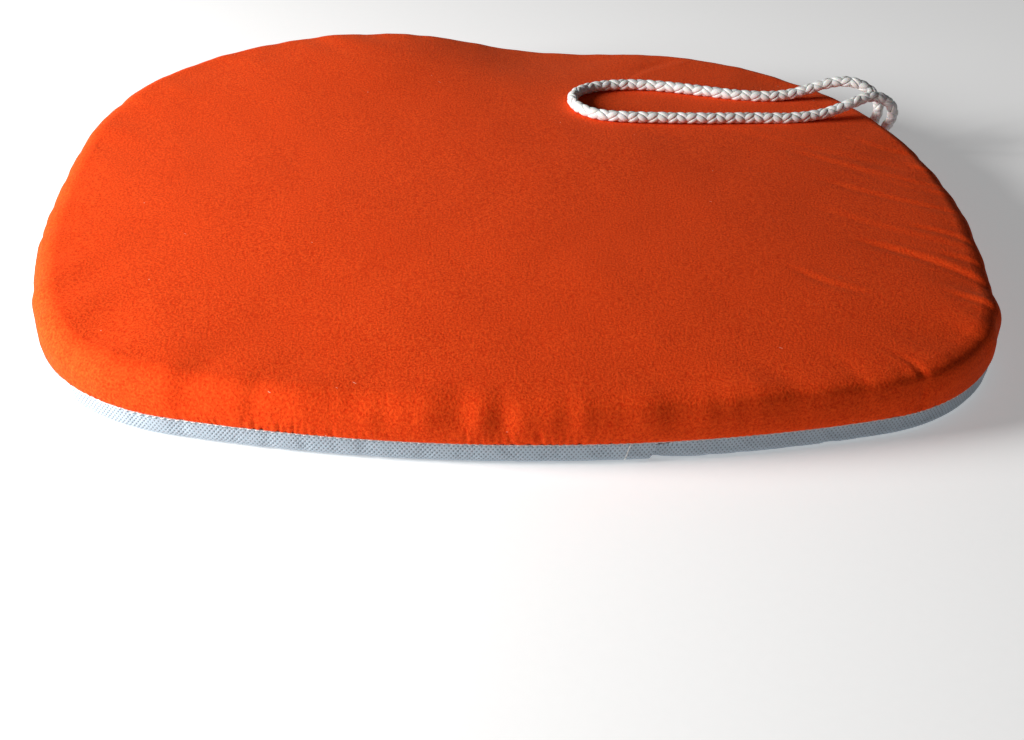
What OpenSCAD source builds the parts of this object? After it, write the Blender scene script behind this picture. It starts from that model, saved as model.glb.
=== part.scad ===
// Chair seat pad: a soft rounded foam pad in a one-piece cover, with a nonwoven strip
// folded round its lower edge and one braided cord loop to tie it to a chair.
// Frame: origin at the bottom centre, +Z up, front edge towards -Y, the tie at the back right.
// All sizes are in millimetres.

/* [Pad] */
// Overall width, side to side
pad_w = 400; // [330:5:480]
// Overall depth, front to back
pad_d = 342; // [284:1:412]
// Overall height at the middle of the crowned top
pad_h = 30; // [25:1:50]
// How far the top rises from its rolled edge to its middle
top_crown = 3; // [1:0.5:6]
// Radius of the soft roll between the side wall and the top
edge_roll_r = 10; // [6:0.5:12]

/* [Outline] */
// Distance from the front edge back to the widest place
widest_from_front = 146; // [120:1:176]
// Radius of the gently bowed front edge
front_bow_r = 545; // [450:5:900]
// Radius of each gently bowed side
side_bow_r = 730; // [600:5:900]
// Radius of the gently bowed back edge
back_bow_r = 750; // [600:5:900]
// Radius of the two front corners
front_corner_r = 82; // [60:1:100]
// Radius of the two back corners
back_corner_r = 136; // [100:1:165]

/* [Cover] */
// Thickness of the cover cloth with its brushed face
cover_t = 0.6; // [0.4:0.1:1.2]
// How far the cover is turned in behind the edge strip
cover_turn_in = 4; // [3:0.5:5]
// How far the cover swells out over the edge strip
cover_swell = 1.3; // [1:0.1:2]
// Height above the strip at which the cover has swelled to its full width
swell_h = 5.2; // [4.5:0.1:6]

/* [Edge strip] */
// Height of the strip on the side wall
band_h = 9; // [7:0.5:12]
// Thickness of the nonwoven strip
band_t = 0.6; // [0.4:0.1:0.8]
// Radius of the strip's fold under the lower edge
band_fold_r = 4; // [3:0.5:5]
// Width of the strip that is returned under the pad
band_return = 12; // [8:1:20]
// Length of the strip that is doubled at its lap
band_lap = 18; // [10:1:30]
// Distance along the edge from the front middle to the lap's outer end
lap_from_middle = 44; // [20:1:80]
// Distance of the lap's row of stitches from its outer end
lap_stitch_back = 9; // [4:1:12]

/* [Base] */
// Thickness of the nonwoven underside panel
panel_t = 0.6; // [0.4:0.1:1.2]

/* [Thread and tie] */
// Diameter of the sewing thread
thread_d = 0.5; // [0.3:0.1:0.6]
// Diameter of the braided tie cord
cord_d = 5.4; // [4:0.2:5.6]
// Distance along the edge from the front middle to the bar tack of the tie
tie_from_middle = 415; // [345:1:500]
// Length of the bar tack across both ends of the tie
tack_len = 15; // [12:1:20]
// Height of the bar tack
tack_h = 5; // [3:0.5:7]
// Thickness of the bar tack
tack_t = 0.4; // [0.3:0.1:0.8]

/* [Hidden] */

// Clearances between the soft layers
soft_gap = 0.2;
lap_gap = 0.1;
thread_gap = 0.1;

// How finely the layers are divided
edge_steps = 120;
roll_steps = 5;
fold_steps = 5;
crown_steps = 6;
crown_start = 0.08;
thread_sides = 6;
cord_sides = 8;
lap_ramp = 10;

// Lap stitches
lap_stitches = 3;
lap_stitch_len = 1.9;
lap_stitch_gap = 0.8;

// Levels and insets that follow from the sizes above
roll_r = min(edge_roll_r, pad_h - top_crown - band_h - swell_h);
wall_top = pad_h - top_crown - roll_r;
turned_in = cover_swell + 2 * band_t + lap_gap + soft_gap;
panel_inset = cover_swell + band_fold_r;
panel_z = 2 * band_t + lap_gap + soft_gap;
foam_z = panel_z + panel_t + soft_gap;
foam_inset = cover_t + soft_gap;

// The tie: one closed loop from its sewn end nearer the front, up over the edge roll,
// along the top, round, and back to its other sewn end
tie_route = [
    [186.4, 89, 9.5], [190.9, 91, 10.6], [194.4, 92.5, 13.6], [197, 92.3, 18],
    [197.9, 90.4, 22.7], [197.2, 87.8, 27.8], [194.3, 86, 32.6], [189, 85.2, 36],
    [182.5, 83.6, 37.2], [175, 80.4, 36], [166, 77, 33.6], [156, 74, 31.7],
    [141, 71, 31], [120, 69.5, 31.4], [98, 67.5, 31.8], [76, 67, 32],
    [58, 67, 32.2], [46, 69.5, 32.2], [38, 76.5, 32.2], [35.5, 86.5, 32],
    [39, 96, 31.8], [47, 102.5, 31.6], [60, 106.5, 31.5], [76, 107, 31.4],
    [96, 103, 31.3], [118, 98, 31], [134, 97, 30.8], [146, 98.4, 31.4],
    [156, 100.2, 33.6], [165, 101.4, 36.2], [174, 101.4, 37.6], [182, 100, 36.6],
    [188.4, 98.5, 33], [192.3, 98.6, 27.8], [193.6, 100, 22.7], [193, 100.4, 18],
    [190.9, 99.5, 13.6], [187.5, 97.6, 10.6], [183.1, 95.3, 9.5]
];

// --- Outline: five tangent arcs from the front middle to the back middle, then mirrored ---

function heading(v) = atan2(v.y, v.x);
function ray(angle) = [cos(angle), sin(angle)];

// Where two circles cross; side is 1 or -1
function crossing(a, ra, b, rb, side) =
    let (d = b - a, reach = norm(d), u = d / reach,
         along = (ra * ra - rb * rb + reach * reach) / (2 * reach),
         off = sqrt(ra * ra - along * along))
    a + u * along + side * off * [-u.y, u.x];

front_c = [0, front_bow_r - pad_d / 2];
back_c = [0, pad_d / 2 - back_bow_r];
side_c = [pad_w / 2 - side_bow_r, widest_from_front - pad_d / 2];
front_corner_c = crossing(front_c, front_bow_r - front_corner_r,
                          side_c, side_bow_r - front_corner_r, 1);
back_corner_c = crossing(back_c, back_bow_r - back_corner_r,
                         side_c, side_bow_r - back_corner_r, -1);
front_join = heading(front_corner_c - front_c);
side_low_join = heading(front_corner_c - side_c);
side_high_join = heading(back_corner_c - side_c);
back_join = heading(back_corner_c - back_c);

// Each arc: centre, radius, first angle, last angle
arcs = [
    [front_c, front_bow_r, -90, front_join],
    [front_corner_c, front_corner_r, front_join, side_low_join],
    [side_c, side_bow_r, side_low_join, side_high_join],
    [back_corner_c, back_corner_r, side_high_join, back_join],
    [back_c, back_bow_r, back_join, 90]
];

function arc_len(arc) = arc[1] * (arc[3] - arc[2]) * PI / 180;
function sum(list, i = 0) = i == len(list) ? 0 : list[i] + sum(list, i + 1);
half_len = sum([for (arc = arcs) arc_len(arc)]);
edge_len = 2 * half_len;

// A station of the edge is [centre, radius, angle], at a distance along the edge
function half_station(s, i = 0) =
    let (arc = arcs[i])
    i == len(arcs) - 1 || s <= arc_len(arc)
        ? [arc[0], arc[1], arc[2] + s / arc[1] * 180 / PI]
        : half_station(s - arc_len(arc), i + 1);
function mirrored(st) = [[-st[0].x, st[0].y], st[1], 180 - st[2]];
function wrapped(s) = s - edge_len * floor(s / edge_len);
function station(s) =
    let (w = wrapped(s)) w <= half_len ? half_station(w) : mirrored(half_station(edge_len - w));
function edge_point(st, inset) = st[0] + (st[1] - inset) * ray(st[2]);

edge_stations = [for (i = [0 : edge_steps - 1]) station(edge_len * i / edge_steps)];

// --- Solids made of rings of points ---

// Two triangles for each cell of a grid of rings; both says whether the rings close on themselves
function ring_cells(rings, n, closed) = [
    for (i = [0 : rings - (closed ? 1 : 2)]) for (j = [0 : n - 1])
        let (a = i * n + j, b = i * n + (j + 1) % n,
             c = ((i + 1) % rings) * n + (j + 1) % n, d = ((i + 1) % rings) * n + j)
        each [[a, c, b], [a, d, c]]
];

// Levels are [inset, z, shrink]; each is one ring round the edge, and a fan closes each end
module stacked(levels) {
    n = edge_steps;
    rings = len(levels);
    points = concat(
        [for (lv = levels) for (st = edge_stations)
            let (p = edge_point(st, lv[0]) * lv[2]) [p.x, p.y, lv[1]]],
        [[0, 0, levels[0][1]], [0, 0, levels[rings - 1][1]]]);
    fans = [for (j = [0 : n - 1]) each [
        [rings * n, j, (j + 1) % n],
        [rings * n + 1, (rings - 1) * n + (j + 1) % n, (rings - 1) * n + j]]];
    polyhedron(points, concat(ring_cells(rings, n, false), fans));
}

// A round tube of straight-sided section along a route of points
function route_heading(route, i) =
    let (a = route[max(i - 1, 0)], b = route[min(i + 1, len(route) - 1)]) (b - a) / norm(b - a);
function turned_side(side, along) = let (v = side - along * (side * along)) v / norm(v);
function side_vectors(route, side, i = 0) =
    let (here = turned_side(side, route_heading(route, i)))
    i == len(route) - 1 ? [here] : concat([here], side_vectors(route, here, i + 1));

module tube(route, d, sides, first_side) {
    vectors = side_vectors(route, first_side);
    points = [for (i = [0 : len(route) - 1])
        let (u = vectors[i], w = cross(route_heading(route, i), u))
        for (k = [0 : sides - 1])
            route[i] + d / 2 * (u * cos(360 * k / sides) + w * sin(360 * k / sides))];
    last = (len(route) - 1) * sides;
    polyhedron(points, concat(
        ring_cells(len(route), sides, false),
        [[for (k = [0 : sides - 1]) k]],
        [[for (k = [sides - 1 : -1 : 0]) last + k]]));
}

// A thread that runs all the way round the edge at one inset and height
module thread_ring(inset, z) {
    points = [for (st = edge_stations) for (k = [0 : thread_sides - 1])
        let (p = edge_point(st, inset - thread_d / 2 * cos(360 * k / thread_sides)))
        [p.x, p.y, z + thread_d / 2 * sin(360 * k / thread_sides)]];
    polyhedron(points, ring_cells(edge_steps, thread_sides, true));
}

// --- The soft body: side wall, edge roll and crown, drawn in by off ---

function crown_z(shrink) = pad_h - top_crown * shrink * shrink;

function body_levels(off) = concat(
    [[turned_in + off, band_h + 0.08 * swell_h, 1],
     [0.45 * turned_in + off, band_h + 0.28 * swell_h, 1],
     [0.12 * turned_in + off, band_h + 0.58 * swell_h, 1],
     [off, band_h + swell_h, 1]],
    [for (i = [0 : roll_steps])
        let (a = 90 * i / roll_steps, r = roll_r - off)
        [roll_r - r * cos(a), wall_top + r * sin(a), 1]],
    [for (i = [1 : crown_steps])
        let (shrink = 1 - (1 - crown_start) * i / crown_steps)
        [roll_r, crown_z(shrink) - off, shrink]]);

function reversed(list) = [for (i = [len(list) - 1 : -1 : 0]) list[i]];

module foam_core() {
    wall_inset = turned_in + foam_inset;
    color("khaki")
        stacked(concat(
            [[wall_inset, foam_z, 0.5], [wall_inset, foam_z, 1]],
            body_levels(foam_inset)));
}

module top_cover() {
    rim_z = band_h - cover_turn_in;
    color("orangered")
        stacked(concat(
            reversed(body_levels(cover_t)),
            [[turned_in + cover_t, rim_z, 1], [turned_in, rim_z, 1]],
            body_levels(0)));
}

// --- The nonwoven strip: side wall, fold and return, drawn in by off ---

function band_line(off) = concat(
    [[cover_swell + off, band_h]],
    [for (i = [0 : fold_steps])
        let (a = 90 * i / fold_steps)
        [panel_inset - (band_fold_r - off) * cos(a), band_fold_r - (band_fold_r - off) * sin(a)]],
    [[panel_inset + band_return, off]]);

// The strip's first stretch lies one layer further in, so that its last stretch laps over it
lap_start = lap_from_middle - band_lap;
function smooth(t) = let (c = max(0, min(1, t))) c * c * (3 - 2 * c);
function lap_depth(s) = (band_t + lap_gap) * (1 - smooth((s - lap_start - band_lap) / lap_ramp));

module edge_band() {
    lap_steps = 4;
    distances = concat(
        [for (i = [0 : lap_steps - 1]) lap_start + (band_lap + lap_ramp) * i / lap_steps],
        [for (i = [0 : edge_steps - 1])
            lap_start + band_lap + lap_ramp + (edge_len - lap_ramp) * i / (edge_steps - 1)]);
    half = len(band_line(0));
    n = 2 * half;
    points = [for (s = distances)
        let (st = station(s), off = lap_depth(s))
        for (q = concat(band_line(off), reversed(band_line(off + band_t))))
            let (p = edge_point(st, q[0])) [p.x, p.y, q[1]]];
    last = (len(distances) - 1) * n;
    caps = [for (j = [0 : half - 2]) each [
        [j, j + 1, n - 1 - j], [j + 1, n - 2 - j, n - 1 - j],
        [last + j, last + n - 1 - j, last + j + 1],
        [last + j + 1, last + n - 1 - j, last + n - 2 - j]]];
    color("lightblue")
        polyhedron(points, concat(ring_cells(len(distances), n, false), caps));
}

module base_panel() {
    color("aliceblue")
        translate([0, 0, panel_z])
            linear_extrude(height = panel_t)
                polygon([for (st = edge_stations) edge_point(st, panel_inset)]);
}

module cover_seam() {
    color("white")
        thread_ring(cover_swell + band_t / 2, band_h + thread_gap + thread_d / 2);
}

module base_seam() {
    color("white")
        thread_ring(panel_inset + band_return + thread_gap + thread_d / 2,
                    panel_z - thread_gap - thread_d / 2);
}

// A point on the strip's outer face, raised by lift, a distance down its line from the top
function band_face(s, down, lift) =
    let (wall = band_h - band_fold_r, a = max(0, down - wall) / band_fold_r * 180 / PI,
         r = band_fold_r + lift,
         p = edge_point(station(s), panel_inset - r * cos(a)))
    [p.x, p.y, down <= wall ? band_h - down : band_fold_r - r * sin(a)];

module lap_stitch() {
    s = lap_from_middle - lap_stitch_back;
    pitch = lap_stitch_len + lap_stitch_gap;
    color("white")
        for (i = [0 : lap_stitches - 1])
            tube([for (j = [0 : 2]) band_face(s, 0.6 + i * pitch + j * lap_stitch_len / 2, thread_d / 2)],
                 thread_d, thread_sides, [1, 0, 0]);
}

// The bar tack lies against the swell of the cover, over the seam
module tie_tack() {
    st = station(tie_from_middle);
    p = edge_point(st, -thread_gap);
    color("white")
        translate([p.x, p.y, band_h + 0.5 - tack_h / 2])
            rotate([0, 0, st[2]])
                translate([0, -tack_len / 2, 0])
                    cube([tack_t, tack_len, tack_h]);
}

module tie_cord() {
    color("white")
        tube(tie_route, cord_d, cord_sides, [0, 0, 1]);
}

foam_core();
top_cover();
edge_band();
base_panel();
cover_seam();
base_seam();
lap_stitch();
tie_tack();
tie_cord();
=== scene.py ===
# Chair seat pad: the visual model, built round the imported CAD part.
# Lengths in this file are millimetres in the part's own frame (+Z up, front edge towards -Y)
# and become metres where a mesh, a lamp or the camera is made.

import math

import bpy
import numpy as np
from mathutils import Matrix, Vector
from mathutils.bvhtree import BVHTree
from mathutils.kdtree import KDTree


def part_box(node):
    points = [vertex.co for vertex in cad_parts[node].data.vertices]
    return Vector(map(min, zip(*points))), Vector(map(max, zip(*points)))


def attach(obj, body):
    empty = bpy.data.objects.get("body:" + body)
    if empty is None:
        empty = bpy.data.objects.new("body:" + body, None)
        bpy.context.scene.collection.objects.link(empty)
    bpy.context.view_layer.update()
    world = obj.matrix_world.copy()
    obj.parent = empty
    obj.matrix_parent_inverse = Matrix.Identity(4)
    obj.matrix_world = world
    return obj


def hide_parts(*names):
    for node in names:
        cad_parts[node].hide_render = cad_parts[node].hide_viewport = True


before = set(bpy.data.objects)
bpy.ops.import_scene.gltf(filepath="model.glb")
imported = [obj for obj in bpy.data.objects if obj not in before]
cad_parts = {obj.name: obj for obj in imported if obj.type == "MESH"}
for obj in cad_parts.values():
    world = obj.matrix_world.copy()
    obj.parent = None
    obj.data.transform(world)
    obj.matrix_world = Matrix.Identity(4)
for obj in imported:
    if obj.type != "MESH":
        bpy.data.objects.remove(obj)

MM = 0.001
TURN = 2 * math.pi

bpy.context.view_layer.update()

# --- Sizes ---

cover_low, cover_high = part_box("top_cover")
_, band_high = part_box("edge_band")
panel_low, panel_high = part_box("base_panel")
tack_low, tack_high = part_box("tie_tack")
PAD_W = (cover_high.x - cover_low.x) / MM
PAD_D = (cover_high.y - cover_low.y) / MM
BAND_H = band_high.z / MM
PANEL_Z = panel_low.z / MM
PANEL_T = (panel_high.z - panel_low.z) / MM
TACK_Z = (tack_low.z + tack_high.z) / 2 / MM
TACK_H = (tack_high.z - tack_low.z) / MM

# The crowned top and the soft roll at its edge
PAD_H = 30.0
TOP_CROWN = 3.0
ROLL_R = 10.0
WALL_TOP = PAD_H - TOP_CROWN - ROLL_R

# Outline: front edge to widest place, and the radii of its arcs
WIDEST_FROM_FRONT = 146.0
FRONT_BOW_R = 545.0
SIDE_BOW_R = 730.0
BACK_BOW_R = 750.0
FRONT_CORNER_R = 82.0
BACK_CORNER_R = 136.0

# The strip and its lap
BAND_INSET = 1.3
BAND_T = 0.6
FOLD_R = 4.0
BAND_RETURN = 12.0
LAP_END = 44.0
LAP_LEN = 18.0
LAP_START = LAP_END - LAP_LEN
LAP_DEPTH = 0.7
LAP_RAMP = 22.0
LAP_TUCK = 0.5
LAP_SLANT = 2.4
LAP_STITCH_BACK = 9.0

# Thread, bar tack and cord
THREAD_D = 0.42
TACK_FROM_MIDDLE = 415.0
TACK_LEN = 15.0

# The tie's route, the same points as in the CAD source
TIE_ROUTE = [
    (186.4, 89, 9.5), (190.9, 91, 10.6), (194.4, 92.5, 13.6), (197, 92.3, 18),
    (197.9, 90.4, 22.7), (197.2, 87.8, 27.8), (194.3, 86, 32.6), (189, 85.2, 36),
    (182.5, 83.6, 37.2), (175, 80.4, 36), (166, 77, 33.6), (156, 74, 31.7),
    (141, 71, 31), (120, 69.5, 31.4), (98, 67.5, 31.8), (76, 67, 32),
    (58, 67, 32.2), (46, 69.5, 32.2), (38, 76.5, 32.2), (35.5, 86.5, 32),
    (39, 96, 31.8), (47, 102.5, 31.6), (60, 106.5, 31.5), (76, 107, 31.4),
    (96, 103, 31.3), (118, 98, 31), (134, 97, 30.8), (146, 98.4, 31.4),
    (156, 100.2, 33.6), (165, 101.4, 36.2), (174, 101.4, 37.6), (182, 100, 36.6),
    (188.4, 98.5, 33), (192.3, 98.6, 27.8), (193.6, 100, 22.7), (193, 100.4, 18),
    (190.9, 99.5, 13.6), (187.5, 97.6, 10.6), (183.1, 95.3, 9.5),
]


# --- Camera: the photograph's angle ---

def make_camera():
    eye = Vector((-52.6, -638.1, 352.3)) * MM
    yaw, pitch, roll = (math.radians(a) for a in (5.16, 33.4, 3.05))
    ahead = Vector((math.sin(yaw), math.cos(yaw), 0))
    forward = ahead * math.cos(pitch) - Vector((0, 0, math.sin(pitch)))
    level = Vector((math.cos(yaw), -math.sin(yaw), 0))
    upward = level.cross(forward)
    right = level * math.cos(roll) + upward * math.sin(roll)
    up = upward * math.cos(roll) - level * math.sin(roll)
    data = bpy.data.cameras.new("camera")
    data.sensor_width = 36
    data.lens = 56.25
    camera = add_object("camera", data)
    turned = Matrix((right, up, -forward)).transposed().to_4x4()
    camera.matrix_world = Matrix.Translation(eye) @ turned
    bpy.context.scene.camera = camera


# --- Small helpers ---

def smooth(t):
    t = np.clip(t, 0, 1)
    return t * t * (3 - 2 * t)


def bell(t):
    return np.exp(-np.asarray(t) ** 2)


def unit(v):
    return v / np.maximum(np.linalg.norm(v, axis=-1, keepdims=True), 1e-12)


def run_of(line):
    """The running length at each point of a line."""
    return np.concatenate(([0], np.cumsum(np.linalg.norm(np.diff(line, axis=0), axis=1))))


def add_object(name, data):
    made = bpy.data.objects.new(name, data)
    bpy.context.scene.collection.objects.link(made)
    return made


def ripple(s, wavelength, seed, count=7):
    """A smooth uneven wave of about unit height that closes on itself round the edge."""
    rng = np.random.default_rng(seed)
    turns = EDGE_LEN / wavelength
    total = np.zeros_like(s, dtype=float)
    for _ in range(count):
        harmonic = max(1, round(turns * rng.uniform(0.6, 1.5)))
        total += np.cos(TURN * harmonic * s / EDGE_LEN + rng.uniform(0, TURN))
    return total / math.sqrt(count / 2)


def swell(xy, wavelength, seed, count=12):
    """A smooth uneven wave of about unit height over the plane."""
    rng = np.random.default_rng(seed)
    total = np.zeros(len(xy))
    for _ in range(count):
        angle = rng.uniform(0, TURN)
        k = TURN / (wavelength * rng.uniform(0.7, 1.5))
        along = xy[:, 0] * math.cos(angle) + xy[:, 1] * math.sin(angle)
        total += np.cos(k * along + rng.uniform(0, TURN))
    return total / math.sqrt(count / 2)


# --- Outline: five tangent arcs from the front middle to the back middle, then mirrored ---

def crossing(a, ra, b, rb, side):
    """Where two circles cross; side is 1 or -1."""
    a, b = np.array(a), np.array(b)
    reach = np.linalg.norm(b - a)
    u = (b - a) / reach
    along = (ra * ra - rb * rb + reach * reach) / (2 * reach)
    off = math.sqrt(ra * ra - along * along)
    return a + u * along + side * off * np.array((-u[1], u[0]))


def heading(v):
    return math.atan2(v[1], v[0])


def arcs_of_edge():
    """Each arc: centre, radius, first angle, last angle."""
    front_c = np.array((0, FRONT_BOW_R - PAD_D / 2))
    back_c = np.array((0, PAD_D / 2 - BACK_BOW_R))
    side_c = np.array((PAD_W / 2 - SIDE_BOW_R, WIDEST_FROM_FRONT - PAD_D / 2))
    low_c = crossing(front_c, FRONT_BOW_R - FRONT_CORNER_R, side_c, SIDE_BOW_R - FRONT_CORNER_R, 1)
    high_c = crossing(back_c, BACK_BOW_R - BACK_CORNER_R, side_c, SIDE_BOW_R - BACK_CORNER_R, -1)
    joins = (heading(low_c - front_c), heading(low_c - side_c),
             heading(high_c - side_c), heading(high_c - back_c))
    return [
        (front_c, FRONT_BOW_R, -math.pi / 2, joins[0]),
        (low_c, FRONT_CORNER_R, joins[0], joins[1]),
        (side_c, SIDE_BOW_R, joins[1], joins[2]),
        (high_c, BACK_CORNER_R, joins[2], joins[3]),
        (back_c, BACK_BOW_R, joins[3], math.pi / 2),
    ]


ARCS = arcs_of_edge()
ARC_LENS = [r * (last - first) for _, r, first, last in ARCS]
HALF_LEN = sum(ARC_LENS)
EDGE_LEN = 2 * HALF_LEN


def edge_at(s):
    """Points on the outline and its outward directions, at distances along it."""
    s = np.mod(np.asarray(s, dtype=float), EDGE_LEN)
    left = s > HALF_LEN
    rest = np.where(left, EDGE_LEN - s, s)
    points = np.zeros((len(s), 2))
    outward = np.zeros((len(s), 2))
    done = np.zeros(len(s), bool)
    for i, ((centre, r, first, _), length) in enumerate(zip(ARCS, ARC_LENS)):
        here = ~done & ((rest <= length) | (i == len(ARCS) - 1))
        angle = first + rest[here] / r
        ray = np.column_stack((np.cos(angle), np.sin(angle)))
        points[here] = centre + r * ray
        outward[here] = ray
        done |= here
        rest = np.where(done, rest, rest - length)
    points[left, 0] *= -1
    outward[left, 0] *= -1
    return points, outward


def on_edge(s, inset, z):
    """3-D points at distances along the edge, drawn in by inset, at height z."""
    points, outward = edge_at(s)
    flat = points - outward * np.broadcast_to(inset, len(points))[:, None]
    return np.column_stack((flat, np.broadcast_to(z, len(points))))


def shrunk(s, inset, shrink, z):
    """The outline drawn in by inset and shrunk towards its middle, at height z."""
    points = on_edge(s, inset, 0) * (shrink, shrink, 0)
    points[:, 2] = z
    return points


# --- How the soft pad has settled, the same for every piece of it ---

# Middle (x, y), reach, and move (x, y, z) of each place where the pad is pushed out of true;
# the z move grows from nothing at the floor to its full size at the top
SETTLED = [
    ((-62, 165), 72, (0.0, 5.4, 6.6)),
    ((24, 168), 42, (0.0, -3.4, -2.8)),
    ((194, 22), 50, (4.5, 0.0, 0.0)),
    ((200, -20), 48, (3.2, 0.6, 0.0)),
    ((170, 95), 50, (1.2, 1.6, 0.8)),
    ((198, -80), 34, (-0.6, -1.0, 0.0)),
    ((-196, -95), 30, (3.4, 0.0, 0.0)),
    ((-160, 120), 50, (-2.0, 2.0, 2.2)),
]


def settled(points):
    """The points moved as the soft pad has settled."""
    moved = points.copy()
    lift = np.clip(points[:, 2] / PAD_H, 0, 1)
    for middle, reach, (dx, dy, dz) in SETTLED:
        share = bell(np.linalg.norm(points[:, :2] - middle, axis=1) / reach)
        moved[:, 0] += dx * share
        moved[:, 1] += dy * share
        moved[:, 2] += dz * share * lift
    return moved


# --- Meshes made of rows of points, and of tubes ---

class Pile:
    """Points in mm, their cloth coordinates (u, v) in mm, and the faces between them."""

    def __init__(self):
        self.points = []
        self.cloth = []
        self.faces = []
        self.count = 0

    def row(self, points, u, v):
        """Adds points and gives their numbers."""
        start = self.count
        count = len(points)
        self.points.append(np.asarray(points, dtype=float))
        self.cloth.append(np.column_stack((np.broadcast_to(u, count), np.broadcast_to(v, count))))
        self.count += count
        return np.arange(start, self.count)

    def mesh(self, name, wrap=None):
        return make_mesh(name, np.vstack(self.points), self.faces, np.vstack(self.cloth), wrap)


class Rows(Pile):
    """Rows of points joined into one mesh."""

    def join(self, a, b, closed):
        """Faces between two rows, b above a as seen from outside with a running to the right."""
        if len(a) == len(b):
            last = len(a) if closed else len(a) - 1
            i = np.arange(last)
            j = (i + 1) % len(a)
            self.faces.extend(np.column_stack((a[i], a[j], b[j], b[i])).tolist())
            return
        self.zip(a, b, closed)

    def zip(self, a, b, closed):
        """Triangles between two rows with different numbers of points."""
        na = len(a) if closed else len(a) - 1
        nb = len(b) if closed else len(b) - 1
        i = j = 0
        while i < na or j < nb:
            if j >= nb or (i < na and (i + 0.5) / na <= (j + 0.5) / nb):
                self.faces.append((a[i], a[(i + 1) % len(a)], b[j % len(b)]))
                i += 1
            else:
                self.faces.append((a[i % len(a)], b[(j + 1) % len(b)], b[j]))
                j += 1

    def stack(self, last, points, u, v):
        """A closed row joined above the last one, if there is one."""
        ring = self.row(points, u, v)
        if last is not None:
            self.join(last, ring, True)
        return ring

    def cap(self, ring, z, v=0):
        """Closes a ring with a point in the middle at height z."""
        middle = self.row([(0, 0, z)], 0, v)[0]
        for i in range(len(ring)):
            self.faces.append((ring[i], ring[(i + 1) % len(ring)], middle))


def make_mesh(name, points, faces, cloth, wrap):
    """A smooth-shaded object from points in mm; cloth coordinates become its UV map, in metres."""
    mesh = bpy.data.meshes.new(name)
    mesh.from_pydata((points * MM).tolist(), [], [tuple(int(k) for k in f) for f in faces])
    mesh.shade_smooth()
    corners = np.zeros(len(mesh.loops), np.int32)
    mesh.loops.foreach_get("vertex_index", corners)
    uv = cloth[corners].copy()
    if wrap:
        close_wrap(mesh, uv, wrap)
    mesh.uv_layers.new(name="cloth")
    mesh.uv_layers["cloth"].data.foreach_set("uv", (uv * MM).ravel())
    return add_object(name, mesh)


def close_wrap(mesh, uv, wrap):
    """Where a face spans the place at which u starts again, its low corners go on past the end."""
    starts = np.zeros(len(mesh.polygons), np.int32)
    mesh.polygons.foreach_get("loop_start", starts)
    totals = np.diff(np.append(starts, len(uv)))
    highest = np.maximum.reduceat(uv[:, 0], starts)
    low = uv[:, 0] < np.repeat(highest, totals) - wrap / 2
    uv[low, 0] += wrap


def read(piece, what):
    flat = np.zeros(len(piece.data.vertices) * 3)
    piece.data.vertices.foreach_get(what, flat)
    return flat.reshape(-1, 3)


def read_points(piece):
    return read(piece, "co") / MM


def write_points(piece, points):
    piece.data.vertices.foreach_set("co", (points * MM).astype(np.float32).ravel())
    piece.data.update()


def settle(piece):
    """Moves a finished piece as the soft pad has settled."""
    write_points(piece, settled(read_points(piece)))
    return piece


def curve_through(points, step, fineness=24):
    """A smooth line through given points, with a point every step."""
    p = np.vstack((2 * points[0] - points[1], points, 2 * points[-1] - points[-2]))
    fine = []
    for i in range(1, len(p) - 2):
        t = np.linspace(0, 1, fineness, endpoint=False)[:, None]
        a, b, c, d = p[i - 1], p[i], p[i + 1], p[i + 2]
        fine.append(0.5 * (2 * b + (c - a) * t + (2 * a - 5 * b + 4 * c - d) * t ** 2
                           + (3 * b - a - 3 * c + d) * t ** 3))
    return spaced(np.vstack(fine + [p[-2:-1]]), step)


def spaced(line, step):
    along = run_of(line)
    count = max(2, round(along[-1] / step) + 1)
    at = np.linspace(0, along[-1], count)
    return np.column_stack([np.interp(at, along, line[:, k]) for k in range(line.shape[1])])


def carried_frames(line):
    """A side and a second side at each point of a line, without needless twist."""
    along = unit(np.gradient(line, axis=0))
    sides = np.zeros_like(line)
    side = np.array((0.0, 0.0, 1.0))
    for i, t in enumerate(along):
        side = side - t * side.dot(t)
        side = side / np.linalg.norm(side)
        sides[i] = side
    return sides, np.cross(along, sides)


class Tubes(Pile):
    """Threads and strands collected into one mesh."""

    def thread(self, line):
        self.add(line, THREAD_D / 2, THREAD_D / 2, 6)

    def add(self, line, across, through, sides, sections=None):
        """A tube along a line; across and through are its half sizes."""
        n = len(line)
        side, up = carried_frames(line) if sections is None else sections
        a = TURN * np.arange(sides) / sides
        ring = (line[:, None, :] + across * np.cos(a)[None, :, None] * side[:, None, :]
                + through * np.sin(a)[None, :, None] * up[:, None, :])
        along = run_of(line)
        girth = TURN * 0.5 * (across + through)
        v = np.tile(girth * np.arange(sides) / sides, n)
        start = self.row(ring.reshape(-1, 3), np.repeat(along, sides), v)[0]
        i, j = np.meshgrid(np.arange(n - 1), np.arange(sides), indexing="ij")
        k = (j + 1) % sides
        quads = np.stack((i * sides + j, i * sides + k, (i + 1) * sides + k, (i + 1) * sides + j), -1)
        self.faces.extend((quads.reshape(-1, 4) + start).tolist())
        self.faces.append([start + m for m in reversed(range(sides))])
        self.faces.append([start + (n - 1) * sides + m for m in range(sides)])


# --- Materials ---

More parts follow.
